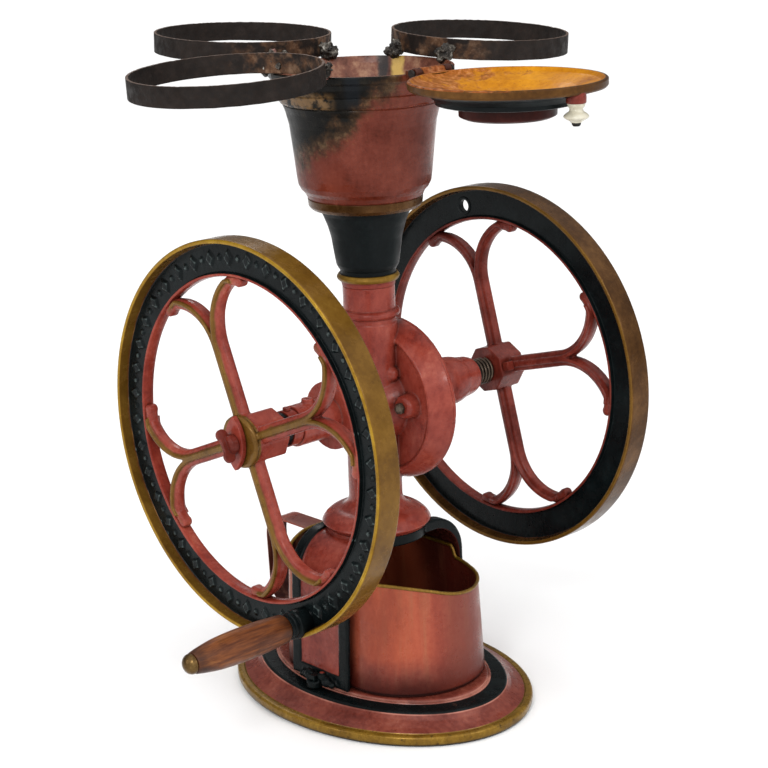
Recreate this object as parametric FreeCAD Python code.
import FreeCAD, Part
import os
from math import acos, atan2, cos, degrees, pi, radians, sin, sqrt
from FreeCAD import Vector

# Double-wheel countertop coffee mill. Millimetres.
# Origin: middle of the base's underside, under the column. +Z up.
# X runs along the axle, with the crank wheel at -X. -Y is the front, where the bin shows.

# Base
BASE_HALF_X = 142.0
BASE_HALF_Y = 190.0
BASE_BEAD_HEIGHT = 12.0
BASE_BEAD_WIDTH = 9.0
BEAD_STEPS = 5
BRIM_HOLLOW = 2.5
BRIM_TOP_HALF_X = 110.0
BRIM_TOP_HALF_Y = 161.0
BRIM_TOP_Z = 27.0
PLATEAU_HALF_X = 92.0
PLATEAU_HALF_Y = 139.0
PLATEAU_Z = 32.0
BASE_WALL = 6.0
RIB_WIDTH = 12.0
PAD_RADIUS = 22.0

# Arched pedestal standing on the base
ARCH_HALF_FOOT = 93.0
ARCH_HALF_WAIST = 88.5
ARCH_SHOULDER_RADIUS = 44.0
ARCH_TOP_Z = 193.0
ARCH_HALF_DEPTH = 45.0
ARCH_SIDE_WALL = 5.5
ARCH_TOP_WALL = 12.0
BORDER_WIDTH = 14.0
BORDER_HEIGHT = 2.0
HOLD_LUG_X = 100.0
HOLD_LUG_RADIUS = 9.0
HOLD_LUG_TOP_Z = 37.0
HOLD_BOLT_RADIUS = 3.0
HOLD_BOLT_HEAD = 6.0

# Grinder body
AXLE_Z = 329.3
FOOT_RADIUS = 60.0
FOOT_TOP_Z = 198.0
COLUMN_RADIUS = 29.5
NECK_RADIUS = 28.0
NECK_TOP_Z = 462.0
NECK_BORE = 21.0
DRUM_FACE_X = 8.0
DRUM_FACE_RADIUS = 79.0
DRUM_BACK_X = 33.5
DRUM_BACK_RADIUS = 90.8
DRUM_RECESS = 6.0
GRIND_BORE = 70.0
GRIND_FLOOR_X = 13.0
FEED_BORE = 17.0
FEED_START_X = -46.0
CHUTE_BORE = 17.0
CHUTE_X = 6.0
BARREL_FLANGE_X = -64.0
BARREL_FLANGE_RADIUS = 37.0
TUBE_END_X = -115.0
TUBE_RADIUS = 22.0
LUG_Y = -50.0
LUG_Z = 334.0
OIL_HOLE_RADIUS = 1.8
LEFT_OIL_X = -93.0
RIGHT_OIL_X = 96.0

# Drum cover with the right bearing
COVER_PLATE = 4.5
COVER_NECK_X = 62.0
BEARING_BULGE_X = 112.0
BEARING_BULGE_RADIUS = 26.5
BEARING_END_X = 150.0
BEARING_END_RADIUS = 20.0
COVER_SCREWS = 6
COVER_SCREW_CIRCLE = 81.0
COVER_SCREW_RADIUS = 2.0
FOOT_SCREW_CIRCLE = 50.0
FOOT_SCREW_RADIUS = 2.5

# Axle and what turns with it
AXLE_RADIUS = 11.0
AXLE_LEFT_X = -188.0
AXLE_RIGHT_X = 220.0
RUNNING_GAP = 0.08
FACE_GAP = 0.6
BUSH_WALL = 4.0
BUSH_LENGTH = 36.0
BURR_RADIUS = 64.0
BURR_THICK = 7.0
BURR_GAP = 0.8
BURR_RIDGES = 16
BURR_GROOVE_DEPTH = 2.0
WORM_RADIUS = 15.5
WORM_LENGTH = 44.0
WORM_PITCH = 18.0
WORM_TURNS = 2.0
COLLAR_START_X = -128.2
COLLAR_RADIUS = 19.5
COLLAR_SCREW_X = -122.0
COLLAR_SCREW_RADIUS = 2.6
SPACER_RADIUS = 18.0
SPRING_WIRE = 1.7
SPRING_RADIUS = 13.4
SPRING_TURNS = 4.0
SPRING_START_X = 153.5
SPRING_END_X = 177.0
WASHER_RADIUS = 17.5

# Flywheels
WHEEL_RADIUS = 210.0
WHEEL_WIDTH = 28.7
LEFT_WHEEL_X = -173.6
RIGHT_WHEEL_X = 199.6
RIM_OUTER_BAND = 4.5
RIM_INNER_RADIUS = 170.0
RIM_INNER_BAND = 3.6
RIM_INNER_WIDTH = 14.0
RIM_WEB = 5.0
SPOKES = 4
SPOKE_WIDTH = 18.0
SPOKE_THICK = 12.0
FORK_CENTRE = 63.25
FORK_START = 100.0
FORK_SWEEP = 104.0
ARM_WIDTH = 11.5
RIDGE_WIDTH = 7.0
RIDGE_ARM_WIDTH = 4.5
RIDGE_HEIGHT = 3.5
HUB_FLAT_RADIUS = 25.0
HUB_BARREL_LENGTH = 33.0
LEFT_WHEEL_PHASE = 22.5
RIGHT_WHEEL_PHASE = 15.0
RELIEF_COUNT = 40
RELIEF_HALF = 9.0
RELIEF_HEIGHT = 2.4
SPARE_HOLE_CIRCLE = 188.0
SPARE_HOLE_RADIUS = 7.0
SPARE_BOSS_RADIUS = 10.5
SPARE_HALF_LENGTH = 3.5
SET_SCREW_X = 184.8
SET_SCREW_RADIUS = 3.0
SQUARE_HEAD = 10.0

# Crank handle on the left wheel
HANDLE_Y = -78.0
HANDLE_Z = 151.5
HANDLE_BOSS_RADIUS = 14.2
HANDLE_BOSS_END_X = -203.0
SPINDLE_RADIUS = 5.0
GRIP_START_X = -203.6
GRIP_END_X = -321.5
TIP_END_X = -332.0
TIP_RADIUS = 10.4

# Grind adjusting plate and thumb screw
PLATE_HALF_LENGTH = 29.0
PLATE_HALF_WIDTH = 14.0
PLATE_THICK = 6.0
THUMB_HEAD_RADIUS = 10.5
THUMB_HEAD_LENGTH = 9.0

# Hopper
HOPPER_SEAT_Z = 546.0
HOPPER_RIM_Z = 693.0
HOPPER_RIM_RADIUS = 97.0
HOPPER_SCREWS = 3
HOPPER_SCREW_CIRCLE = 44.0
HOPPER_SCREW_RADIUS = 1.6
HOPPER_FLOOR_Z = 551.0
HOPPER_OUTLET_RADIUS = 39.5

# Lid, turned over on its hinge
LID_HINGE_Y = -103.8
LID_HINGE_Z = 694.5
LID_RADIUS = 97.0
LID_CENTRE_Y = -207.6
LID_RIM_Z = 694.4
HINGE_PIN_RADIUS = 2.5
HINGE_BARREL = 5.0
EAR_WIDTH = 9.0
EAR_GAP_HALF = 16.0
KNOB_Y = -295.0
KNOB_LOW_Z = 659.0
KNOB_HIGH_Z = 677.0
KNOB_SCREW_RADIUS = 2.2

# Iron rings welded to the hopper's rim: turn about the column, top edge, slope along X and along Y
RING_OUTER = 97.2
RING_THICK = 3.0
RING_HEIGHT = 21.0
RING_CENTRE = 183.7
RINGS = {
    "ring_left": (181.7, 709.4, 0.053, 0.007),
    "ring_back": (91.7, 719.5, -0.018, 0.040),
    "ring_right": (1.7, 713.5, -0.032, 0.056),
}
WELD_TURN = 22.5
WELD_CIRCLE = 94.2

# Catch bin
BIN_X = 2.0
BIN_HALF_WIDTH = 84.0
BIN_TOP_HALF_WIDTH = 78.0
BIN_FLOOR_Z = PLATEAU_Z + 0.3
BIN_FRONT_CENTRE_Y = -43.0
BIN_BACK_Y = 75.0
BIN_FRONT_Z = 139.5
BIN_LEFT_Z = 157.0
BIN_RIGHT_Z = 138.5
BIN_LOW_Z = 135.0
BIN_SIDE_Z = 150.0
BIN_BACK_Z = 178.0
BIN_WALL = 1.2
BIN_BACK_CORNER = 18.0
RIM_WIRE_RADIUS = 2.0
BIN_ARCH_HALF_WIDTH = 83.0
BIN_ARCH_BEND = 48.0
STRAP_HALF_WIDTH = 15.0
STRAP_THICK = 2.0
STRAP_REACH = 104.0
STRAP_TOP_Z = 163.0
STRAP_LOW_Z = 56.0
RIVET_RADIUS = 2.0
RIVET_HEAD_RADIUS = 3.6
RIVET_OUT = 8.0
RIVET_DROP = 7.0

X_AXIS = Vector(1, 0, 0)
Y_AXIS = Vector(0, 1, 0)
Z_AXIS = Vector(0, 0, 1)
AXLE_POINT = Vector(0, 0, AXLE_Z)


def save(shape, node):
    if len(shape.Solids) == 1:
        shape = shape.Solids[0]
    shape.exportStep("parts/" + node + ".step")


def outline(path):
    """Closed wire from points; a triple ("arc", through, end) bends to its end."""
    edges = []
    here = path[0]
    for step in path[1:] + [path[0]]:
        if len(step) == 3 and step[0] == "arc":
            edges.append(Part.Arc(here, step[1], step[2]).toShape())
            here = step[2]
        elif (step - here).Length > 1e-6:
            edges.append(Part.makeLine(here, step))
            here = step
    return Part.Wire(edges)


def turned_z(profile, centre=Vector(0, 0, 0)):
    """Turn an (r, z) outline about a vertical axis."""
    path = []
    for step in profile:
        if step[0] == "arc":
            through = Vector(step[1][0], 0, step[1][1])
            path.append(("arc", through, Vector(step[2][0], 0, step[2][1])))
        else:
            path.append(Vector(step[0], 0, step[1]))
    solid = Part.Face(outline(path)).revolve(Vector(0, 0, 0), Z_AXIS, 360)
    solid.translate(centre)
    return solid


def turned_x(profile, centre=AXLE_POINT):
    """Turn an (x, r) outline about an axis along X."""
    path = []
    for step in profile:
        if step[0] == "arc":
            through = Vector(step[1][0], 0, step[1][1])
            path.append(("arc", through, Vector(step[2][0], 0, step[2][1])))
        else:
            path.append(Vector(step[0], 0, step[1]))
    solid = Part.Face(outline(path)).revolve(Vector(0, 0, 0), X_AXIS, 360)
    solid.translate(centre)
    return solid


def rod_x(x_start, x_end, radius, y=0.0, z=AXLE_Z):
    return Part.makeCylinder(radius, x_end - x_start, Vector(x_start, y, z), X_AXIS)


def tube_x(x_start, x_end, outer, inner, y=0.0, z=AXLE_Z):
    return rod_x(x_start, x_end, outer, y, z).cut(rod_x(x_start - 1, x_end + 1, inner, y, z))


def box(x_range, y_range, z_range):
    corner = Vector(x_range[0], y_range[0], z_range[0])
    size_x = x_range[1] - x_range[0]
    size_y = y_range[1] - y_range[0]
    return Part.makeBox(size_x, size_y, z_range[1] - z_range[0], corner)


def polygon_prism(sides, flat_radius, x_start, x_end, turn=0.0, y=0.0, z=AXLE_Z):
    """Regular prism along X, measured across its flats."""
    corner_radius = flat_radius / cos(pi / sides)
    points = []
    for i in range(sides):
        angle = radians(turn) + 2 * pi * (i + 0.5) / sides
        points.append(Vector(x_start, y + corner_radius * sin(angle), z + corner_radius * cos(angle)))
    face = Part.Face(outline(points))
    return face.extrude(Vector(x_end - x_start, 0, 0))


def ellipse_wire(half_x, half_y, z):
    if half_x > half_y:
        curve = Part.Ellipse(Vector(0, 0, z), half_x, half_y)
        return Part.Wire(curve.toShape())
    curve = Part.Ellipse(Vector(0, 0, z), half_y, half_x)
    edge = curve.toShape()
    edge.rotate(Vector(0, 0, z), Z_AXIS, 90)
    return Part.Wire(edge)


def ellipse_stack(levels):
    """Solid through flat ellipses given as (half_x, half_y, z)."""
    solids = []
    for low, high in zip(levels[:-1], levels[1:]):
        solids.append(Part.makeLoft([ellipse_wire(*low), ellipse_wire(*high)], True, True))
    return solids[0].fuse(solids[1:]) if len(solids) > 1 else solids[0]


def base_plate():
    """Oval foot: rounded bead, hollow-faced brim, flat ring and raised middle, ribbed below."""
    bead_in_x = BASE_HALF_X - BASE_BEAD_WIDTH
    bead_in_y = BASE_HALF_Y - BASE_BEAD_WIDTH
    levels = []
    for i in range(BEAD_STEPS + 1):
        angle = radians(180.0 * i / BEAD_STEPS - 90.0)
        reach = BASE_BEAD_WIDTH / 2 * (1 - cos(angle))
        z = BASE_BEAD_HEIGHT / 2 * (1 + sin(angle))
        levels.append((BASE_HALF_X - reach, BASE_HALF_Y - reach, z))
    brim_mid_x = (bead_in_x + BRIM_TOP_HALF_X) / 2 - BRIM_HOLLOW
    brim_mid_y = (bead_in_y + BRIM_TOP_HALF_Y) / 2 - BRIM_HOLLOW
    levels.append((bead_in_x, bead_in_y, BASE_BEAD_HEIGHT + 0.25))
    levels.append((brim_mid_x, brim_mid_y, BRIM_TOP_Z - 8.0))
    levels.append((BRIM_TOP_HALF_X, BRIM_TOP_HALF_Y, BRIM_TOP_Z))
    levels.append((PLATEAU_HALF_X + 1.5, PLATEAU_HALF_Y + 1.5, BRIM_TOP_Z + 1.5))
    levels.append((PLATEAU_HALF_X, PLATEAU_HALF_Y, PLATEAU_Z))
    solid = ellipse_stack(levels)
    inner_low_x = bead_in_x - BASE_WALL
    inner_low_y = bead_in_y - BASE_WALL
    hollow = ellipse_stack([
        (inner_low_x, inner_low_y, 0.0),
        (inner_low_x, inner_low_y, 3.0),
        (BRIM_TOP_HALF_X - BASE_WALL - 4, BRIM_TOP_HALF_Y - BASE_WALL - 4, BRIM_TOP_Z - BASE_WALL - 1),
    ])
    ribs = box((-BASE_HALF_X, BASE_HALF_X), (-RIB_WIDTH / 2, RIB_WIDTH / 2), (0, BRIM_TOP_Z))
    ribs = ribs.fuse(box((-RIB_WIDTH / 2, RIB_WIDTH / 2), (-BASE_HALF_Y, BASE_HALF_Y), (0, BRIM_TOP_Z)))
    ribs = ribs.fuse(Part.makeCylinder(PAD_RADIUS, BRIM_TOP_Z))
    for side in (-1, 1):
        ribs = ribs.fuse(Part.makeCylinder(HOLD_LUG_RADIUS, BRIM_TOP_Z, Vector(side * HOLD_LUG_X, 0, 0)))
    solid = solid.cut(hollow.cut(ribs))
    for side in (-1, 1):
        hole = Part.makeCylinder(HOLD_BOLT_RADIUS, PLATEAU_Z * 2, Vector(side * HOLD_LUG_X, 0, -1))
        solid = solid.cut(hole)
    return solid


def arch_outline(foot, waist, top, bend, foot_z):
    """Arch outline in the XZ plane: upright sides, rounded shoulders, flat crown."""
    slant = bend * (1 - sin(pi / 4))
    shoulder_z = top - bend
    start = Vector(-foot, 0, foot_z)
    left_waist = Vector(-waist, 0, shoulder_z)
    left_mid = Vector(-waist + slant, 0, top - slant)
    left_top = Vector(-waist + bend, 0, top)
    right_top = Vector(waist - bend, 0, top)
    right_mid = Vector(waist - slant, 0, top - slant)
    right_waist = Vector(waist, 0, shoulder_z)
    end = Vector(foot, 0, foot_z)
    return outline([
        start, left_waist, ("arc", left_mid, left_top),
        right_top, ("arc", right_mid, right_waist), end,
    ])


def arch_prism(shrink, y_range, foot_z):
    """Block of the pedestal's outer shape, pulled in by shrink."""
    wire = arch_outline(
        ARCH_HALF_FOOT - shrink, ARCH_HALF_WAIST - shrink,
        ARCH_TOP_Z - shrink, ARCH_SHOULDER_RADIUS, foot_z)
    face = Part.Face(wire)
    face.translate(Vector(0, y_range[0], 0))
    return face.extrude(Vector(0, y_range[1] - y_range[0], 0))


def arch_space(shrink, y_range, foot_z):
    """Block of the clear space under the pedestal, pulled in by shrink."""
    side = ARCH_SIDE_WALL + shrink
    wire = arch_outline(
        ARCH_HALF_FOOT - side, ARCH_HALF_WAIST - side,
        ARCH_TOP_Z - ARCH_TOP_WALL - shrink, ARCH_SHOULDER_RADIUS - 6.0, foot_z)
    face = Part.Face(wire)
    face.translate(Vector(0, y_range[0], 0))
    return face.extrude(Vector(0, y_range[1] - y_range[0], 0))


def pedestal_arch():
    depth = (-ARCH_HALF_DEPTH, ARCH_HALF_DEPTH)
    front = (-ARCH_HALF_DEPTH, -ARCH_HALF_DEPTH + BORDER_WIDTH)
    back = (ARCH_HALF_DEPTH - BORDER_WIDTH, ARCH_HALF_DEPTH)
    shell = arch_prism(BORDER_HEIGHT, depth, PLATEAU_Z)
    shell = shell.fuse([arch_prism(0, front, PLATEAU_Z), arch_prism(0, back, PLATEAU_Z)])
    skirt = arch_prism(0, depth, PLATEAU_Z).common(
        box((-200, 200), depth, (PLATEAU_Z, PLATEAU_Z + BORDER_WIDTH)))
    crown = Part.makeCylinder(FOOT_RADIUS - 5, 20, Vector(0, 0, ARCH_TOP_Z - 20))
    shell = shell.fuse([skirt, crown])
    for side in (-1, 1):
        lug_low = Vector(side * HOLD_LUG_X, 0, BRIM_TOP_Z + 2.0)
        lug = Part.makeCylinder(HOLD_LUG_RADIUS, HOLD_LUG_TOP_Z - lug_low.z, lug_low)
        x_low, x_high = sorted((side * (ARCH_HALF_FOOT - 3), side * HOLD_LUG_X))
        web = box((x_low, x_high), (-HOLD_LUG_RADIUS, HOLD_LUG_RADIUS), (PLATEAU_Z, HOLD_LUG_TOP_Z))
        clear_of_base = ellipse_stack([
            (PLATEAU_HALF_X + 2, PLATEAU_HALF_Y + 2, 0), (PLATEAU_HALF_X + 2, PLATEAU_HALF_Y + 2, PLATEAU_Z),
        ])
        shell = shell.fuse([lug.cut(clear_of_base), web])
        hole = Part.makeCylinder(HOLD_BOLT_RADIUS, 60, Vector(side * HOLD_LUG_X, 0, PLATEAU_Z - 20))
        shell = shell.cut(hole)
    shell = shell.cut(arch_space(0, (-ARCH_HALF_DEPTH - 20, ARCH_HALF_DEPTH + 20), PLATEAU_Z - 1))
    chute = Part.makeCylinder(CHUTE_BORE + 2, 60, Vector(CHUTE_X, 0, 150))
    return shell.cut(chute).removeSplitter()


def grinder_body():
    foot = turned_z([
        (0, ARCH_TOP_Z), (FOOT_RADIUS - 4, ARCH_TOP_Z), (FOOT_RADIUS, FOOT_TOP_Z),
        ("arc", (FOOT_RADIUS - 5, FOOT_TOP_Z + 7), (COLUMN_RADIUS + 12, FOOT_TOP_Z + 14)),
        ("arc", (COLUMN_RADIUS + 3, FOOT_TOP_Z + 20), (COLUMN_RADIUS, FOOT_TOP_Z + 31)),
        (COLUMN_RADIUS, AXLE_Z + 92), (0, AXLE_Z + 92),
    ])
    neck = turned_z([
        (0, AXLE_Z + 80), (COLUMN_RADIUS - 1, AXLE_Z + 92), (COLUMN_RADIUS - 1, 428.5),
        ("arc", (NECK_RADIUS + 3.8, 432), (COLUMN_RADIUS - 1, 435.5)),
        (NECK_RADIUS, 437), (NECK_RADIUS, NECK_TOP_Z), (0, NECK_TOP_Z),
    ])
    drum = turned_x([
        (DRUM_FACE_X + 3, 0), (DRUM_FACE_X + 3, DRUM_FACE_RADIUS - 4),
        ("arc", (DRUM_FACE_X, DRUM_FACE_RADIUS - 2), (DRUM_FACE_X + 2, DRUM_FACE_RADIUS + 1)),
        ("arc", (DRUM_FACE_X + 14, DRUM_FACE_RADIUS + 7.5), (DRUM_BACK_X, DRUM_BACK_RADIUS)),
        (DRUM_BACK_X, 0),
    ])
    drum = drum.cut(rod_x(DRUM_FACE_X - 2, DRUM_FACE_X + DRUM_RECESS - 1.5, DRUM_FACE_RADIUS - 5))
    floor = rod_x(DRUM_FACE_X + 3, GRIND_FLOOR_X + 1, DRUM_FACE_RADIUS - 2)
    drum = drum.fuse(floor)
    barrel = turned_x([
        (12, 0), (12, 44), (-12, 36), (BARREL_FLANGE_X + 14, TUBE_RADIUS + 6),
        (BARREL_FLANGE_X + 7, TUBE_RADIUS + 6), (BARREL_FLANGE_X + 6, BARREL_FLANGE_RADIUS),
        (BARREL_FLANGE_X, BARREL_FLANGE_RADIUS), (BARREL_FLANGE_X, TUBE_RADIUS),
        (TUBE_END_X, TUBE_RADIUS), (TUBE_END_X, 0),
    ])
    lug = turned_x([
        (DRUM_FACE_X + 6, 0), (DRUM_FACE_X + 6, 14), (-2, 12.5), (-5, 10), (-5, 0),
    ], Vector(0, LUG_Y, LUG_Z))
    small_lug = Part.makeSphere(8.5, Vector(4, -27, 366))
    oil_lump = Part.makeCylinder(6.5, 6.0, Vector(LEFT_OIL_X, 0, AXLE_Z + TUBE_RADIUS - 2))
    web = box((-30, 12), (-6, 6), (AXLE_Z - 70, AXLE_Z - 30))
    solid = foot.fuse([neck, drum, barrel, lug, small_lug, oil_lump, web])
    solid = solid.cut(Part.makeCylinder(NECK_BORE, 200, Vector(0, 0, AXLE_Z)))
    solid = solid.cut(rod_x(FEED_START_X, GRIND_FLOOR_X + 2, FEED_BORE))
    solid = solid.cut(rod_x(GRIND_FLOOR_X, DRUM_BACK_X + 1, GRIND_BORE))
    solid = solid.cut(Part.makeCylinder(CHUTE_BORE, 78, Vector(CHUTE_X, 0, ARCH_TOP_Z - 2)))
    mouth = box((GRIND_FLOOR_X, DRUM_BACK_X - 5), (-14, 14), (AXLE_Z - 84, AXLE_Z - 50))
    solid = solid.cut(mouth)
    solid = solid.cut(rod_x(TUBE_END_X - 1, FEED_START_X + 1, AXLE_RADIUS + BUSH_WALL))
    solid = solid.cut(Part.makeCylinder(OIL_HOLE_RADIUS, 20, Vector(LEFT_OIL_X, 0, AXLE_Z + AXLE_RADIUS)))
    solid = solid.cut(rod_x(-8, GRIND_FLOOR_X + 3, 3.0, LUG_Y, LUG_Z))
    for spot in cover_screw_spots():
        solid = solid.cut(rod_x(DRUM_BACK_X - 9, DRUM_BACK_X + 1, COVER_SCREW_RADIUS, spot[0], spot[1]))
    return solid.removeSplitter()


def cover_screw_spots():
    spots = []
    for i in range(COVER_SCREWS):
        angle = 2 * pi * (i + 0.5) / COVER_SCREWS
        spots.append((COVER_SCREW_CIRCLE * sin(angle), AXLE_Z + COVER_SCREW_CIRCLE * cos(angle)))
    return spots


def drum_cover():
    start = DRUM_BACK_X
    cover = turned_x([
        (start, AXLE_RADIUS + BUSH_WALL), (start, DRUM_BACK_RADIUS),
        (start + COVER_PLATE, DRUM_BACK_RADIUS - 0.6), (start + COVER_PLATE, 74),
        ("arc", (start + 12, 50), (COVER_NECK_X, BEARING_BULGE_RADIUS - 3)),
        (BEARING_BULGE_X - 22, BEARING_BULGE_RADIUS - 3),
        ("arc", (BEARING_BULGE_X, BEARING_BULGE_RADIUS + 1),
         (BEARING_BULGE_X + 18, BEARING_BULGE_RADIUS - 2.5)),
        (BEARING_END_X - 6, BEARING_END_RADIUS + 2), (BEARING_END_X, BEARING_END_RADIUS),
        (BEARING_END_X, AXLE_RADIUS + BUSH_WALL),
    ])
    oil_boss = Part.makeCylinder(5.5, 6, Vector(RIGHT_OIL_X, 0, AXLE_Z + BEARING_BULGE_RADIUS - 4))
    cover = cover.fuse(oil_boss)
    cover = cover.cut(Part.makeCylinder(OIL_HOLE_RADIUS, 30, Vector(RIGHT_OIL_X, 0, AXLE_Z + AXLE_RADIUS)))
    for spot in cover_screw_spots():
        cover = cover.cut(rod_x(start - 1, start + COVER_PLATE + 1, COVER_SCREW_RADIUS + 0.4, spot[0], spot[1]))
    return cover


def cover_screws():
    screws = []
    for spot in cover_screw_spots():
        head_x = DRUM_BACK_X + COVER_PLATE
        screw = rod_x(DRUM_BACK_X - 8, head_x, COVER_SCREW_RADIUS, spot[0], spot[1])
        head = rod_x(head_x, head_x + 2.6, 4.6, spot[0], spot[1])
        slot = box((head_x + 1.6, head_x + 4), (spot[0] - 6, spot[0] + 6), (spot[1] - 0.6, spot[1] + 0.6))
        screws.append(screw.fuse(head).cut(slot))
    return Part.Compound(screws)


def bush(x_start):
    return tube_x(x_start, x_start + BUSH_LENGTH, AXLE_RADIUS + BUSH_WALL, AXLE_RADIUS + RUNNING_GAP)


def face_bolt():
    head = polygon_prism(6, 5.5, -9.5, -5, 12.0, LUG_Y, LUG_Z)
    dome = Part.makeSphere(5.0, Vector(-8.2, LUG_Y, LUG_Z)).common(rod_x(-14, -5.5, 5.0, LUG_Y, LUG_Z))
    return head.fuse(dome).fuse(rod_x(-5.2, GRIND_FLOOR_X - 0.5, 2.95, LUG_Y, LUG_Z)).removeSplitter()


def burr(x_face, toward, bore):
    """Flat burr: a ring with slanted ridges on the side that faces the other burr."""
    start = x_face if toward < 0 else x_face - BURR_THICK
    ring = tube_x(start, start + BURR_THICK, BURR_RADIUS, bore)
    for i in range(BURR_RIDGES):
        turn = 360.0 * i / BURR_RIDGES
        x_low = x_face - 0.5 if toward < 0 else x_face - BURR_GROOVE_DEPTH
        groove = box((x_low, x_low + BURR_GROOVE_DEPTH + 0.5), (9, 12), (AXLE_Z + 26, AXLE_Z + BURR_RADIUS + 2))
        groove.rotate(AXLE_POINT, X_AXIS, turn)
        ring = ring.cut(groove)
    return ring


def outer_burr():
    return burr(GRIND_FLOOR_X + BURR_THICK, 1, FEED_BORE + 4)


def inner_burr():
    return burr(GRIND_FLOOR_X + BURR_THICK + BURR_GAP, -1, AXLE_RADIUS)


def feed_worm():
    """Coarse screw that carries beans along the axle to the burrs."""
    sleeve_radius = AXLE_RADIUS + 1.5
    start = FEED_START_X + 6
    worm = tube_x(start, start + WORM_LENGTH, sleeve_radius, AXLE_RADIUS)
    helix = Part.makeHelix(WORM_PITCH, WORM_PITCH * WORM_TURNS, sleeve_radius - 0.4)
    profile = outline([
        Vector(sleeve_radius - 0.8, 0, -1.6), Vector(WORM_RADIUS, 0, -1.0),
        Vector(WORM_RADIUS, 0, 1.0), Vector(sleeve_radius - 0.8, 0, 1.6),
    ])
    flight = Part.Wire(helix).makePipeShell([profile], True, True)
    flight.rotate(Vector(0, 0, 0), Y_AXIS, 90)
    flight.translate(Vector(start + 4, 0, AXLE_Z))
    return worm.fuse(flight)


def axle():
    rod = turned_x([
        (AXLE_LEFT_X, 0), (AXLE_LEFT_X, AXLE_RADIUS - 1), (AXLE_LEFT_X + 1, AXLE_RADIUS),
        (AXLE_RIGHT_X - 2, AXLE_RADIUS), (AXLE_RIGHT_X, AXLE_RADIUS - 2), (AXLE_RIGHT_X, 0),
    ])
    return rod.cut(rod_x(AXLE_LEFT_X - 1, AXLE_LEFT_X + 16, 4.0))


def shaft_collar():
    collar = tube_x(COLLAR_START_X, TUBE_END_X - FACE_GAP, COLLAR_RADIUS, AXLE_RADIUS)
    below_screw = Vector(COLLAR_SCREW_X, 0, AXLE_Z)
    return collar.cut(Part.makeCylinder(COLLAR_SCREW_RADIUS, 2 * COLLAR_RADIUS, below_screw))


def collar_screw():
    foot_z = AXLE_Z + AXLE_RADIUS + 0.05
    head_z = AXLE_Z + COLLAR_RADIUS
    screw = Part.makeCylinder(COLLAR_SCREW_RADIUS, head_z - foot_z, Vector(COLLAR_SCREW_X, 0, foot_z))
    head = Part.makeCylinder(4.2, 3.0, Vector(COLLAR_SCREW_X, 0, head_z))
    slot = box((COLLAR_SCREW_X - 5, COLLAR_SCREW_X + 5), (-0.6, 0.6), (head_z + 1.8, head_z + 4))
    return screw.fuse(head).cut(slot)


def thrust_spacer():
    start = LEFT_WHEEL_X + HUB_BARREL_LENGTH
    return tube_x(start, COLLAR_START_X - 0.4, SPACER_RADIUS, AXLE_RADIUS)


def spring():
    pitch = (SPRING_END_X - SPRING_START_X - 2 * SPRING_WIRE) / SPRING_TURNS
    helix = Part.makeHelix(pitch, pitch * SPRING_TURNS, SPRING_RADIUS)
    ring = Part.Wire(Part.makeCircle(SPRING_WIRE, Vector(SPRING_RADIUS, 0, 0), Y_AXIS))
    coil = Part.Wire(helix).makePipeShell([ring], True, True)
    coil.rotate(Vector(0, 0, 0), Y_AXIS, 90)
    coil.translate(Vector(SPRING_START_X + SPRING_WIRE, 0, AXLE_Z))
    return coil


def spring_washer():
    return tube_x(BEARING_END_X + FACE_GAP, SPRING_START_X - 0.2, WASHER_RADIUS, AXLE_RADIUS)


def wheel_rim(x_mid):
    """Flanged rim: broad outer tread, thin web and a narrower bead round the opening."""
    half = WHEEL_WIDTH / 2
    band_low = RIM_INNER_RADIUS + RIM_INNER_BAND
    band_high = WHEEL_RADIUS - RIM_OUTER_BAND
    bead_half = RIM_INNER_WIDTH / 2
    web_half = RIM_WEB / 2
    return turned_x([
        (x_mid - half + 1.2, WHEEL_RADIUS), (x_mid + half - 1.2, WHEEL_RADIUS),
        (x_mid + half, WHEEL_RADIUS - 1.2), (x_mid + half, band_high),
        (x_mid + web_half, band_high - 1.5), (x_mid + web_half, band_low + 1.5),
        (x_mid + bead_half, band_low), (x_mid + bead_half, RIM_INNER_RADIUS + 1.2),
        ("arc", (x_mid, RIM_INNER_RADIUS), (x_mid - bead_half, RIM_INNER_RADIUS + 1.2)),
        (x_mid - bead_half, band_low), (x_mid - web_half, band_low + 1.5),
        (x_mid - web_half, band_high - 1.5), (x_mid - half, band_high),
        (x_mid - half, WHEEL_RADIUS - 1.2),
    ])


def forked_plate(x_mid, thick, bar_width, arm_width):
    """Upright bar whose end splits into two arms that bend away to the rim."""
    arm_in = FORK_CENTRE - bar_width / 2
    arm_out = arm_in + arm_width
    sweep = radians(FORK_SWEEP)
    meet = acos(FORK_CENTRE / arm_out)
    between = (meet + sweep) / 2
    low_z = AXLE_Z + AXLE_RADIUS + 1
    x_low = x_mid - thick / 2

    def spot(side, radius, angle):
        y = side * (FORK_CENTRE - radius * cos(angle))
        return Vector(x_low, y, AXLE_Z + FORK_START + radius * sin(angle))

    plate = outline([
        Vector(x_low, -bar_width / 2, low_z), spot(-1, arm_in, 0),
        ("arc", spot(-1, arm_in, sweep / 2), spot(-1, arm_in, sweep)), spot(-1, arm_out, sweep),
        ("arc", spot(-1, arm_out, between), spot(-1, arm_out, meet)),
        ("arc", spot(1, arm_out, between), spot(1, arm_out, sweep)), spot(1, arm_in, sweep),
        ("arc", spot(1, arm_in, sweep / 2), spot(1, arm_in, 0)), Vector(x_low, bar_width / 2, low_z),
    ])
    return Part.Face(plate).extrude(Vector(thick, 0, 0))


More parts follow.
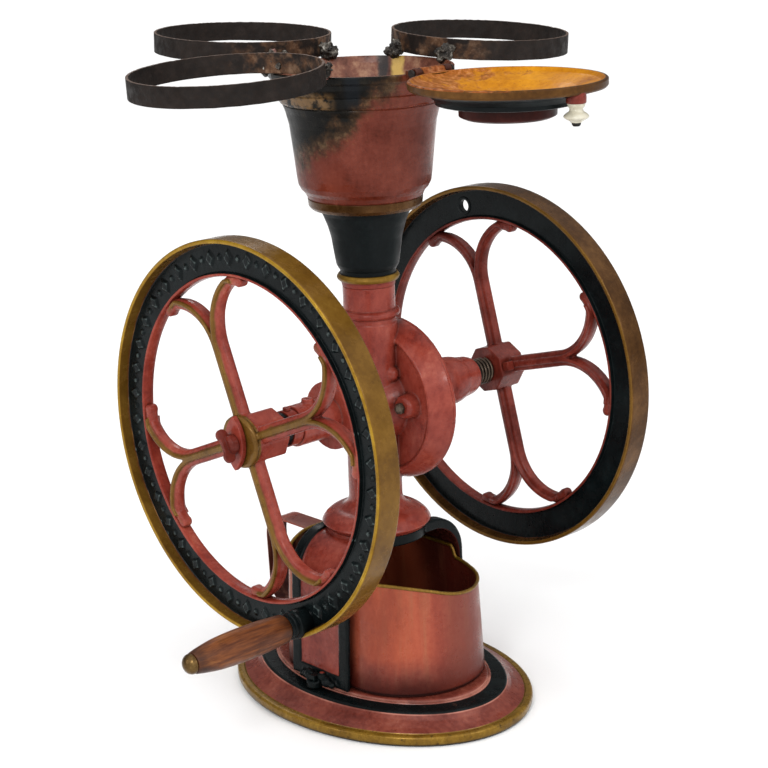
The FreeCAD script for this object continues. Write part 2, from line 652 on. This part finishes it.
def spoke(x_mid):
    """One spoke standing straight up from the hub, forked at the rim and ridged on both sides."""
    body = forked_plate(x_mid, SPOKE_THICK, SPOKE_WIDTH, ARM_WIDTH)
    ridge = forked_plate(x_mid, SPOKE_THICK + 2 * RIDGE_HEIGHT, RIDGE_WIDTH, RIDGE_ARM_WIDTH)
    return body.fuse(ridge).common(rod_x(x_mid - WHEEL_WIDTH, x_mid + WHEEL_WIDTH, RIM_INNER_RADIUS + 3))


def rim_relief(x_mid, way):
    """Plain raised lozenges standing on one side of the rim's web."""
    band_mid = (RIM_INNER_RADIUS + RIM_INNER_BAND + WHEEL_RADIUS - RIM_OUTER_BAND) / 2
    face_x = x_mid + way * RIM_WEB / 2
    low_x, high_x = sorted((face_x - way * 1.0, face_x + way * RELIEF_HEIGHT))
    lozenge = outline([
        Vector(low_x, 0, AXLE_Z + band_mid - RELIEF_HALF), Vector(low_x, 5.5, AXLE_Z + band_mid),
        Vector(low_x, 0, AXLE_Z + band_mid + RELIEF_HALF), Vector(low_x, -5.5, AXLE_Z + band_mid),
    ])
    marks = []
    for i in range(RELIEF_COUNT):
        turn = 360.0 * (i + 0.5) / RELIEF_COUNT
        mark = Part.Face(lozenge).extrude(Vector(high_x - low_x, 0, 0))
        mark.rotate(AXLE_POINT, X_AXIS, turn)
        marks.append(mark)
    return marks


def wheel(x_mid, phase, inward, hub_end):
    """Flywheel; inward is the side on which the hub barrel runs to the mill."""
    body = wheel_rim(x_mid)
    pieces = []
    for i in range(SPOKES):
        arm = spoke(x_mid)
        arm.rotate(AXLE_POINT, X_AXIS, -phase + 360.0 * i / SPOKES)
        pieces.append(arm)
    x_low, x_high = sorted((x_mid - inward * 14.5, hub_end))
    pieces.append(polygon_prism(8, HUB_FLAT_RADIUS, x_low, x_high, phase))
    return body.fuse(pieces).cut(rod_x(x_low - 1, x_high + 1, AXLE_RADIUS))


def flywheel_left():
    body = wheel(LEFT_WHEEL_X, LEFT_WHEEL_PHASE, 1, LEFT_WHEEL_X + HUB_BARREL_LENGTH - FACE_GAP)
    boss = turned_x([
        (LEFT_WHEEL_X + 6, 0), (LEFT_WHEEL_X + 6, HANDLE_BOSS_RADIUS),
        (HANDLE_BOSS_END_X + 11, HANDLE_BOSS_RADIUS + 1), (HANDLE_BOSS_END_X + 9, HANDLE_BOSS_RADIUS - 1.5),
        (HANDLE_BOSS_END_X + 7, HANDLE_BOSS_RADIUS), (HANDLE_BOSS_END_X, HANDLE_BOSS_RADIUS - 1.2),
        (HANDLE_BOSS_END_X, 0),
    ], Vector(0, HANDLE_Y, HANDLE_Z))
    clear_of_boss = boss.BoundBox
    marks = []
    for mark in rim_relief(LEFT_WHEEL_X, -1):
        middle = mark.BoundBox.Center
        near = sqrt((middle.y - clear_of_boss.Center.y) ** 2 + (middle.z - clear_of_boss.Center.z) ** 2)
        if near > HANDLE_BOSS_RADIUS + 8:
            marks.append(mark)
    body = body.fuse([boss] + marks)
    return body.cut(rod_x(LEFT_WHEEL_X - 40, LEFT_WHEEL_X + 20, SPINDLE_RADIUS, HANDLE_Y, HANDLE_Z))


def flywheel_right():
    body = wheel(RIGHT_WHEEL_X, RIGHT_WHEEL_PHASE, -1, SPRING_END_X + 0.3)
    hole_turn = radians(RIGHT_WHEEL_PHASE)
    y = SPARE_HOLE_CIRCLE * sin(hole_turn)
    z = AXLE_Z + SPARE_HOLE_CIRCLE * cos(hole_turn)
    boss = rod_x(RIGHT_WHEEL_X - SPARE_HALF_LENGTH, RIGHT_WHEEL_X + SPARE_HALF_LENGTH, SPARE_BOSS_RADIUS, y, z)
    body = body.fuse([boss] + [m for m in rim_relief(RIGHT_WHEEL_X, 1) if far_from(m, y, z)])
    body = body.cut(rod_x(RIGHT_WHEEL_X - 20, RIGHT_WHEEL_X + 20, SPARE_HOLE_RADIUS, y, z))
    socket_y, socket_z = set_screw_way()
    seat = Vector(SET_SCREW_X, socket_y * AXLE_RADIUS, AXLE_Z + socket_z * AXLE_RADIUS)
    return body.cut(Part.makeCylinder(SET_SCREW_RADIUS, 40, seat, Vector(0, socket_y, socket_z)))


def far_from(mark, y, z):
    middle = mark.BoundBox.Center
    return sqrt((middle.y - y) ** 2 + (middle.z - z) ** 2) > 20


def set_screw_way():
    turn = radians(-90 + RIGHT_WHEEL_PHASE)
    return sin(turn), cos(turn)


def hub_set_screw():
    way_y, way_z = set_screw_way()
    way = Vector(0, way_y, way_z)
    start = Vector(SET_SCREW_X, 0, AXLE_Z) + way * AXLE_RADIUS
    shank = Part.makeCylinder(SET_SCREW_RADIUS, HUB_FLAT_RADIUS - AXLE_RADIUS + 2, start, way)
    head = Part.makeBox(SQUARE_HEAD, SQUARE_HEAD, 8, Vector(-SQUARE_HEAD / 2, -SQUARE_HEAD / 2, 0))
    head.rotate(Vector(0, 0, 0), X_AXIS, degrees(atan2(-way_y, way_z)))
    head.translate(Vector(SET_SCREW_X, 0, AXLE_Z) + way * (HUB_FLAT_RADIUS + 0.6))
    return shank.fuse(head)


def adjust_plate():
    """Lens-shaped plate across the end of the left hub."""
    x = LEFT_WHEEL_X - 15.0 - PLATE_THICK
    lens = outline([
        Vector(x, 0, AXLE_Z + PLATE_HALF_LENGTH),
        ("arc", Vector(x, PLATE_HALF_WIDTH, AXLE_Z), Vector(x, 0, AXLE_Z - PLATE_HALF_LENGTH)),
        ("arc", Vector(x, -PLATE_HALF_WIDTH, AXLE_Z), Vector(x, 0, AXLE_Z + PLATE_HALF_LENGTH)),
    ])
    plate = Part.Face(lens).extrude(Vector(PLATE_THICK, 0, 0))
    return plate.cut(rod_x(x - 1, x + PLATE_THICK + 1, 4.1))


def thumb_screw():
    face_x = LEFT_WHEEL_X - 15.0 - PLATE_THICK - 0.3
    stem = rod_x(face_x - 1, AXLE_LEFT_X + 12, 3.9)
    head = turned_x([
        (face_x, 0), (face_x, THUMB_HEAD_RADIUS), (face_x - THUMB_HEAD_LENGTH + 2, THUMB_HEAD_RADIUS - 1),
        (face_x - THUMB_HEAD_LENGTH, THUMB_HEAD_RADIUS - 4), (face_x - THUMB_HEAD_LENGTH, 0),
    ])
    wings = []
    for side in (-1, 1):
        mid_x = face_x - THUMB_HEAD_LENGTH - 1
        wing = Part.makeCylinder(6.5, 4.0, Vector(mid_x, -2, AXLE_Z + side * 11.5), Y_AXIS)
        neck = box((mid_x - 4, mid_x + 8), (-2, 2), (AXLE_Z + min(0, side * 11), AXLE_Z + max(0, side * 11)))
        wings.append(wing.fuse(neck))
    solid = stem.fuse([head] + wings)
    solid.rotate(AXLE_POINT, X_AXIS, -28)
    return solid.removeSplitter()


def handle_spindle():
    return rod_x(GRIP_END_X - 6, LEFT_WHEEL_X + 5.8, SPINDLE_RADIUS, HANDLE_Y, HANDLE_Z)


def handle_tip():
    """Domed cap riveted on the spindle's end."""
    dome_start = GRIP_END_X - 2.5
    height = dome_start - TIP_END_X
    dome_radius = (height ** 2 + TIP_RADIUS ** 2) / (2 * height)
    half_turn = atan2(TIP_RADIUS, dome_radius - height) / 2
    through = (TIP_END_X + dome_radius * (1 - cos(half_turn)), dome_radius * sin(half_turn))
    tip = turned_x([
        (GRIP_END_X - 0.6, 0), (GRIP_END_X - 0.6, TIP_RADIUS), (dome_start, TIP_RADIUS),
        ("arc", through, (TIP_END_X, 0)),
    ], Vector(0, HANDLE_Y, HANDLE_Z))
    return tip.cut(rod_x(GRIP_END_X - 6, GRIP_END_X + 2, SPINDLE_RADIUS, HANDLE_Y, HANDLE_Z))


def handle_grip():
    wood = turned_x([
        (GRIP_START_X, 0), (GRIP_START_X, 13.4), (GRIP_START_X - 2.5, 14.9),
        ("arc", (-250, 17.1), (-288, 16.2)),
        ("arc", (-306, 14.1), (GRIP_END_X, 10.9)),
        (GRIP_END_X, 0),
    ], Vector(0, HANDLE_Y, HANDLE_Z))
    bore = rod_x(GRIP_END_X - 1, GRIP_START_X + 1, SPINDLE_RADIUS + RUNNING_GAP, HANDLE_Y, HANDLE_Z)
    return wood.cut(bore)


def hopper_throat():
    """Black bell casting between the neck and the hopper bowl."""
    outer = [
        (NECK_BORE, NECK_TOP_Z), (NECK_RADIUS + 1.0, NECK_TOP_Z + 0.5), (30.5, 468.5),
        ("arc", (32.4, 471.5), (30.0, 474.5)), (29.8, 479),
        (33.5, 485.6), (35.6, 498.7), (37.9, 515),
        ("arc", (41.5, 528), (46.0, 539.7)), (50.5, HOPPER_SEAT_Z),
    ]
    inner = [
        (HOPPER_OUTLET_RADIUS, HOPPER_SEAT_Z), (HOPPER_OUTLET_RADIUS, HOPPER_SEAT_Z - 6),
        (34.5, 518), (NECK_BORE + 5, 480), (NECK_BORE, 466),
    ]
    bell = turned_z(outer + inner)
    for spot in hopper_screw_spots():
        bell = bell.cut(Part.makeCylinder(HOPPER_SCREW_RADIUS, 10, spot + Vector(0, 0, HOPPER_SEAT_Z - 6)))
    return bell


def hopper_bowl():
    outer = [
        (HOPPER_OUTLET_RADIUS, HOPPER_SEAT_Z), (57.0, HOPPER_SEAT_Z), ("arc", (60.6, 551.5), (60.8, 557)),
        (63.2, 563.4), ("arc", (68.5, 572), (71.2, 581)), (74.3, 611), (77.2, 636), (80.7, 650),
        (83.2, 657), ("arc", (89, 672), (HOPPER_RIM_RADIUS - 2, 684)),
        (HOPPER_RIM_RADIUS, 686), (HOPPER_RIM_RADIUS, HOPPER_RIM_Z - 1), (HOPPER_RIM_RADIUS - 1, HOPPER_RIM_Z),
    ]
    inner = [
        (HOPPER_RIM_RADIUS - 4, HOPPER_RIM_Z), (HOPPER_RIM_RADIUS - 6, 686),
        ("arc", (85, 673), (79, 658)), (73, 636), (70, 611), (67, 581),
        ("arc", (61, 566), (51, 556)), (49.0, HOPPER_FLOOR_Z), (HOPPER_OUTLET_RADIUS, HOPPER_FLOOR_Z),
    ]
    bowl = turned_z(outer + inner)
    for side in (-1, 1):
        x_low, x_high = sorted((side * EAR_GAP_HALF, side * (EAR_GAP_HALF + EAR_WIDTH)))
        arm = box((x_low, x_high), (LID_HINGE_Y, -88), (LID_HINGE_Z - HINGE_BARREL, LID_HINGE_Z + 2.5))
        eye = rod_x(x_low, x_high, HINGE_BARREL, LID_HINGE_Y, LID_HINGE_Z)
        bowl = bowl.fuse([arm.cut(Part.makeCylinder(HOPPER_RIM_RADIUS - 4, 40, Vector(0, 0, 680))), eye])
    bowl = bowl.cut(rod_x(-60, 60, HINGE_PIN_RADIUS, LID_HINGE_Y, LID_HINGE_Z))
    for spot in hopper_screw_spots():
        bowl = bowl.cut(Part.makeCylinder(HOPPER_SCREW_RADIUS, 12, spot + Vector(0, 0, HOPPER_SEAT_Z - 2)))
    return bowl.removeSplitter()


def hopper_screw_spots():
    spots = []
    for i in range(HOPPER_SCREWS):
        angle = 2 * pi * (i + 0.25) / HOPPER_SCREWS
        spots.append(Vector(HOPPER_SCREW_CIRCLE * cos(angle), HOPPER_SCREW_CIRCLE * sin(angle), 0))
    return spots


def hopper_screws():
    """Screws that hold the bowl down on the throat's flange."""
    screws = []
    for spot in hopper_screw_spots():
        foot_z = HOPPER_SEAT_Z - 5.5
        shank = Part.makeCylinder(HOPPER_SCREW_RADIUS, HOPPER_FLOOR_Z - foot_z, spot + Vector(0, 0, foot_z))
        head = Part.makeCylinder(3.0, 2.0, spot + Vector(0, 0, HOPPER_FLOOR_Z))
        screws.append(shank.fuse(head))
    return Part.Compound(screws)


def lid_hinge_pin():
    end = EAR_GAP_HALF + EAR_WIDTH + 2.0
    pin = rod_x(-end, end, HINGE_PIN_RADIUS, LID_HINGE_Y, LID_HINGE_Z)
    heads = rod_x(-end - 2, -end, HINGE_PIN_RADIUS + 1.5, LID_HINGE_Y, LID_HINGE_Z)
    return pin.fuse(heads).fuse(rod_x(end, end + 2, HINGE_PIN_RADIUS + 1.5, LID_HINGE_Y, LID_HINGE_Z))


def lid():
    """Stepped lid lying upside down, its hollow side up."""
    centre = Vector(0, LID_CENTRE_Y, 0)
    dish = turned_z([
        (0, 656.5), (42, 656.5), (47.8, 659), (48, 669), (66, 670.5), (70.5, 672),
        ("arc", (72, 678), (78, 681)), (92, 685), (LID_RADIUS - 1, 686), (LID_RADIUS, 688),
        (LID_RADIUS, LID_RIM_Z - 1), (LID_RADIUS - 1, LID_RIM_Z), (LID_RADIUS - 4, LID_RIM_Z),
        (90, 690.5), (70, 684), ("arc", (58, 678), (44, 673)), (40, 662), (0, 661),
    ], centre)
    tongue_half = EAR_GAP_HALF - 0.5
    tongue = box((-tongue_half, tongue_half), (-120, LID_HINGE_Y), (LID_HINGE_Z - 4.5, LID_HINGE_Z - 0.1))
    hollow = Part.makeCylinder(LID_RADIUS - 5, 40, Vector(0, LID_CENTRE_Y, 680))
    eye = rod_x(-tongue_half, tongue_half, HINGE_BARREL, LID_HINGE_Y, LID_HINGE_Z)
    knob_boss = Part.makeCylinder(9.7, 13, Vector(0, KNOB_Y, KNOB_HIGH_Z))
    solid = dish.fuse([tongue.cut(hollow), eye, knob_boss.cut(lid_dish_space())])
    solid = solid.cut(rod_x(-40, 40, HINGE_PIN_RADIUS + RUNNING_GAP, LID_HINGE_Y, LID_HINGE_Z))
    solid = solid.cut(Part.makeCylinder(KNOB_SCREW_RADIUS, 20, Vector(0, KNOB_Y, KNOB_HIGH_Z - 7)))
    return solid.removeSplitter()


def lid_dish_space():
    return turned_z([
        (0, 661), (40, 662), (44, 673), ("arc", (58, 678), (70, 684)),
        (90, 690.5), (LID_RADIUS - 4, LID_RIM_Z), (LID_RADIUS - 4, 700), (0, 700),
    ], Vector(0, LID_CENTRE_Y, 0))


def lid_knob():
    knob = turned_z([
        (KNOB_SCREW_RADIUS + 0.1, KNOB_HIGH_Z), (8.6, KNOB_HIGH_Z), (9.0, 675.5),
        ("arc", (6.4, 671.5), (8.8, 668.6)), ("arc", (12.8, 665), (10.4, 662.2)),
        ("arc", (6, 660), (5.4, KNOB_LOW_Z)), (KNOB_SCREW_RADIUS + 0.1, KNOB_LOW_Z),
    ], Vector(0, KNOB_Y, 0))
    return knob


def lid_knob_screw():
    screw = Part.makeCylinder(KNOB_SCREW_RADIUS, 29, Vector(0, KNOB_Y, KNOB_LOW_Z - 2))
    head = turned_z([
        (0, KNOB_LOW_Z - 3.5), (3.0, KNOB_LOW_Z - 3.5), (4.4, KNOB_LOW_Z - 1.8),
        (4.4, KNOB_LOW_Z), (0, KNOB_LOW_Z),
    ], Vector(0, KNOB_Y, 0))
    return screw.fuse(head).removeSplitter()


def set_ring(shape, turn, top_z, slope_x, slope_y):
    """Carry a shape made below the origin to a hoop's place, slightly out of level."""
    shape.rotate(Vector(0, 0, 0), Y_AXIS, -degrees(slope_x))
    shape.rotate(Vector(0, 0, 0), X_AXIS, degrees(slope_y))
    shape.translate(Vector(RING_CENTRE * cos(radians(turn)), RING_CENTRE * sin(radians(turn)), top_z))
    return shape


def welded_ring(place, rim_solid):
    """Flat iron hoop beside the hopper."""
    hoop = Part.makeCylinder(RING_OUTER, RING_HEIGHT, Vector(0, 0, -RING_HEIGHT))
    bore = Part.makeCylinder(RING_OUTER - RING_THICK, RING_HEIGHT + 2, Vector(0, 0, -RING_HEIGHT - 1))
    return set_ring(hoop.cut(bore), *place).cut(rim_solid)


def weld_lumps(rim_solid):
    """Rough weld metal where each hoop crosses the hopper's rim, outside the hoop."""
    lumps = []
    for place in RINGS.values():
        inside = Part.makeCylinder(RING_OUTER, 4 * RING_HEIGHT, Vector(0, 0, -2 * RING_HEIGHT))
        inside = set_ring(inside, *place)
        for side in (-1, 1):
            angle = radians(place[0] + side * WELD_TURN)
            spot = Vector(WELD_CIRCLE * cos(angle), WELD_CIRCLE * sin(angle), HOPPER_RIM_Z + 3.8)
            lump = Part.makeSphere(8.0, spot).fuse(Part.makeSphere(6.0, spot + Vector(4 * side, 3, 3.2)))
            lump = lump.cut(rim_solid).cut(inside)
            lumps.append(max(lump.Solids, key=lambda s: s.Volume))
    return Part.Compound(lumps)


def bin_plan(half_width, inset, z):
    """Outline seen from above: half-round front, straight sides, rounded back corners."""
    half = half_width - inset
    front_y = BIN_FRONT_CENTRE_Y
    back = BIN_BACK_Y - inset
    corner = BIN_BACK_CORNER - inset
    slant = corner * (1 - sin(pi / 4))
    left = BIN_X - half
    right = BIN_X + half
    return outline([
        Vector(left, front_y, z), ("arc", Vector(BIN_X, front_y - half, z), Vector(right, front_y, z)),
        Vector(right, back - corner, z),
        ("arc", Vector(right - slant, back - slant, z), Vector(right - corner, back, z)),
        Vector(left + corner, back, z),
        ("arc", Vector(left + slant, back - slant, z), Vector(left, back - corner, z)),
    ])


def bin_body(inset, floor_z, top_z):
    """Tapered block of the bin's shape, before its rim is scooped."""
    taper = (BIN_HALF_WIDTH - BIN_TOP_HALF_WIDTH) / (BIN_SIDE_Z - BIN_FLOOR_Z)
    low = BIN_HALF_WIDTH - taper * (floor_z - BIN_FLOOR_Z)
    high = BIN_HALF_WIDTH - taper * (top_z - BIN_FLOOR_Z)
    return Part.makeLoft([bin_plan(low, inset, floor_z), bin_plan(high, inset, top_z)], True, True)


def above_bin_rim(lift):
    """Everything above the rim: swept up at the back, and in front higher on the left than on the right."""
    wide = 200
    below_rim = BIN_LOW_Z - 10
    sweep = outline([
        Vector(-wide, -wide, below_rim + lift), Vector(-wide, -46, below_rim + lift),
        ("arc", Vector(-wide, -41.5, 139 + lift), Vector(-wide, -36, BIN_SIDE_Z + lift)),
        ("arc", Vector(-wide, 10, 168 + lift), Vector(-wide, BIN_BACK_Y - 5, BIN_BACK_Z + lift)),
        Vector(-wide, wide, BIN_BACK_Z + lift), Vector(-wide, wide, 400), Vector(-wide, -wide, 400),
    ])
    front = outline([
        Vector(-wide, -wide, BIN_LEFT_Z + lift), Vector(-72, -wide, BIN_LEFT_Z + lift),
        ("arc", Vector(-42, -wide, 152 + lift), Vector(BIN_X, -wide, BIN_FRONT_Z + lift)),
        ("arc", Vector(24, -wide, 136 + lift), Vector(48, -wide, BIN_LOW_Z + lift)),
        ("arc", Vector(63, -wide, 136 + lift), Vector(78, -wide, BIN_RIGHT_Z + lift)),
        Vector(wide, -wide, BIN_RIGHT_Z + lift), Vector(wide, -wide, 400), Vector(-wide, -wide, 400),
    ])
    above_sweep = Part.Face(sweep).extrude(Vector(2 * wide, 0, 0))
    return above_sweep.common(Part.Face(front).extrude(Vector(0, 2 * wide, 0)))


def catch_bin():
    shell = bin_body(0, BIN_FLOOR_Z, 195).cut(bin_body(BIN_WALL, BIN_FLOOR_Z + BIN_WALL, 197))
    shell = shell.cut(above_bin_rim(0)).common(bin_arch(0))
    for x, z in rivet_spots():
        shell = shell.cut(Part.makeCylinder(RIVET_RADIUS, 12, Vector(x, BIN_BACK_Y - 9, z), Y_AXIS))
    return shell


def bin_arch(lift):
    """Arched block that keeps the bin's tall back under the pedestal."""
    half = BIN_ARCH_HALF_WIDTH + lift
    wire = arch_outline(half, half, BIN_BACK_Z - 1 + lift, BIN_ARCH_BEND + lift, BIN_FLOOR_Z + 60)
    face = Part.Face(wire)
    face.translate(Vector(BIN_X, -300, 0))
    low_part = box((-300, 300), (-300, 300), (0, BIN_FRONT_Z - 14))
    return face.extrude(Vector(0, 600, 0)).fuse(low_part)


def bin_rim():
    """Rolled edge: a thick band that follows the top edge of the bin."""
    swell = RIM_WIRE_RADIUS - BIN_WALL / 2
    band = bin_body(-swell, BIN_FLOOR_Z, 195).cut(bin_body(BIN_WALL + swell, BIN_FLOOR_Z, 197))
    above = band.cut(above_bin_rim(RIM_WIRE_RADIUS)).common(bin_arch(RIM_WIRE_RADIUS))
    below = band.cut(above_bin_rim(-RIM_WIRE_RADIUS)).common(bin_arch(-RIM_WIRE_RADIUS))
    return above.cut(below).cut(catch_bin())


def bin_handle():
    """Broad strap looping out behind the bin."""
    wall_y = BIN_BACK_Y
    reach_y = wall_y + STRAP_REACH

    def loop(inset):
        x = BIN_X - STRAP_HALF_WIDTH
        top = STRAP_TOP_Z - inset
        low = STRAP_LOW_Z + inset
        out = reach_y - inset
        bend = 26 - inset * 0.5
        slant = bend * (1 - sin(pi / 4))
        return [
            Vector(x, wall_y, top), Vector(x, out - bend, top),
            ("arc", Vector(x, out - slant, top - slant), Vector(x, out, top - bend)),
            Vector(x, out - 5, low + bend),
            ("arc", Vector(x, out - 5 - slant, low + slant), Vector(x, out - 5 - bend, low)),
            Vector(x, wall_y, low),
        ]

    width = Vector(2 * STRAP_HALF_WIDTH, 0, 0)
    outer = Part.Face(outline(loop(0))).extrude(width)
    strap = outer.cut(Part.Face(outline(loop(STRAP_THICK))).extrude(width))
    strap = strap.cut(box((-60, 60), (wall_y - 1, wall_y + STRAP_THICK), (STRAP_LOW_Z - 1, STRAP_TOP_Z + 1)))
    x_low = BIN_X - STRAP_HALF_WIDTH
    x_high = BIN_X + STRAP_HALF_WIDTH
    tabs = []
    for tab_top in (STRAP_TOP_Z, STRAP_LOW_Z + STRAP_THICK):
        tabs.append(box((x_low, x_high), (wall_y, wall_y + STRAP_THICK), (tab_top - 15, tab_top)))
    strap = strap.fuse(tabs)
    for x, z in rivet_spots():
        strap = strap.cut(Part.makeCylinder(RIVET_RADIUS, 12, Vector(x, BIN_BACK_Y - 5, z), Y_AXIS))
    return strap.removeSplitter()


def rivet_spots():
    spots = []
    for z in (STRAP_TOP_Z - RIVET_DROP, STRAP_LOW_Z - RIVET_DROP):
        spots.append((BIN_X - RIVET_OUT, z))
        spots.append((BIN_X + RIVET_OUT, z))
    return spots


def bin_rivets():
    rivets = []
    inner_y = BIN_BACK_Y - BIN_WALL
    outer_y = BIN_BACK_Y + STRAP_THICK
    for x, z in rivet_spots():
        shank = Part.makeCylinder(RIVET_RADIUS, outer_y - inner_y, Vector(x, inner_y, z), Y_AXIS)
        head = Part.makeCylinder(RIVET_HEAD_RADIUS, 1.5, Vector(x, outer_y, z), Y_AXIS)
        tail = Part.makeCylinder(RIVET_RADIUS + 1.0, 1.0, Vector(x, inner_y - 1.0, z), Y_AXIS)
        rivets.append(shank.fuse([head, tail]))
    return Part.Compound(rivets)


def hold_down_bolts():
    bolts = []
    for side in (-1, 1):
        spot = Vector(side * HOLD_LUG_X, 0, 0)
        shank = Part.makeCylinder(HOLD_BOLT_RADIUS, HOLD_LUG_TOP_Z - 6, spot + Vector(0, 0, 6))
        corner = spot + Vector(-SQUARE_HEAD / 2, -SQUARE_HEAD / 2, HOLD_LUG_TOP_Z)
        head = Part.makeBox(SQUARE_HEAD, SQUARE_HEAD, HOLD_BOLT_HEAD, corner)
        bolts.append(shank.fuse(head))
    return Part.Compound(bolts)


def foot_screws():
    screws = []
    for angle in (45, 135, 225, 315):
        spot = Vector(FOOT_SCREW_CIRCLE * cos(radians(angle)), FOOT_SCREW_CIRCLE * sin(radians(angle)), 0)
        shank = Part.makeCylinder(FOOT_SCREW_RADIUS, 21, spot + Vector(0, 0, ARCH_TOP_Z - 8))
        head = Part.makeSphere(2 * FOOT_SCREW_RADIUS, spot + Vector(0, 0, FOOT_TOP_Z + 7))
        screws.append(shank.fuse(head))
    return screws


def main():
    os.makedirs("parts", exist_ok=True)
    base = base_plate()
    save(base, "base_plate")
    screws = foot_screws()
    arch = pedestal_arch()
    body = grinder_body()
    for screw in screws:
        arch = arch.cut(screw)
        body = body.cut(screw)
    save(arch, "pedestal_arch")
    save(body, "grinder_body")
    save(Part.Compound(screws), "foot_screws")
    save(hold_down_bolts(), "hold_down_bolts")
    save(drum_cover(), "drum_cover")
    save(cover_screws(), "cover_screws")
    save(face_bolt(), "face_bolt")
    save(bush(TUBE_END_X + 0.5), "bush_left")
    save(bush(BEARING_END_X - BUSH_LENGTH), "bush_right")
    save(outer_burr(), "outer_burr")
    save(inner_burr(), "inner_burr")
    save(feed_worm(), "feed_worm")
    save(axle(), "axle")
    save(shaft_collar(), "shaft_collar")
    save(collar_screw(), "collar_screw")
    save(thrust_spacer(), "thrust_spacer")
    save(spring(), "spring")
    save(spring_washer(), "spring_washer")
    save(flywheel_left(), "flywheel_left")
    save(flywheel_right(), "flywheel_right")
    save(hub_set_screw(), "hub_set_screw")
    save(adjust_plate(), "adjust_plate")
    save(thumb_screw(), "thumb_screw")
    save(handle_spindle(), "handle_spindle")
    save(handle_tip(), "handle_tip")
    save(handle_grip(), "handle_grip")
    save(hopper_throat(), "hopper_throat")
    bowl = hopper_bowl()
    save(bowl, "hopper_bowl")
    save(hopper_screws(), "hopper_screws")
    save(lid_hinge_pin(), "lid_hinge_pin")
    save(lid(), "lid")
    save(lid_knob(), "lid_knob")
    save(lid_knob_screw(), "lid_knob_screw")
    for node, place in RINGS.items():
        save(welded_ring(place, bowl), node)
    save(weld_lumps(bowl), "weld_lumps")
    save(catch_bin(), "bin")
    save(bin_rim(), "bin_rim")
    save(bin_handle(), "bin_handle")
    save(bin_rivets(), "bin_rivets")


main()
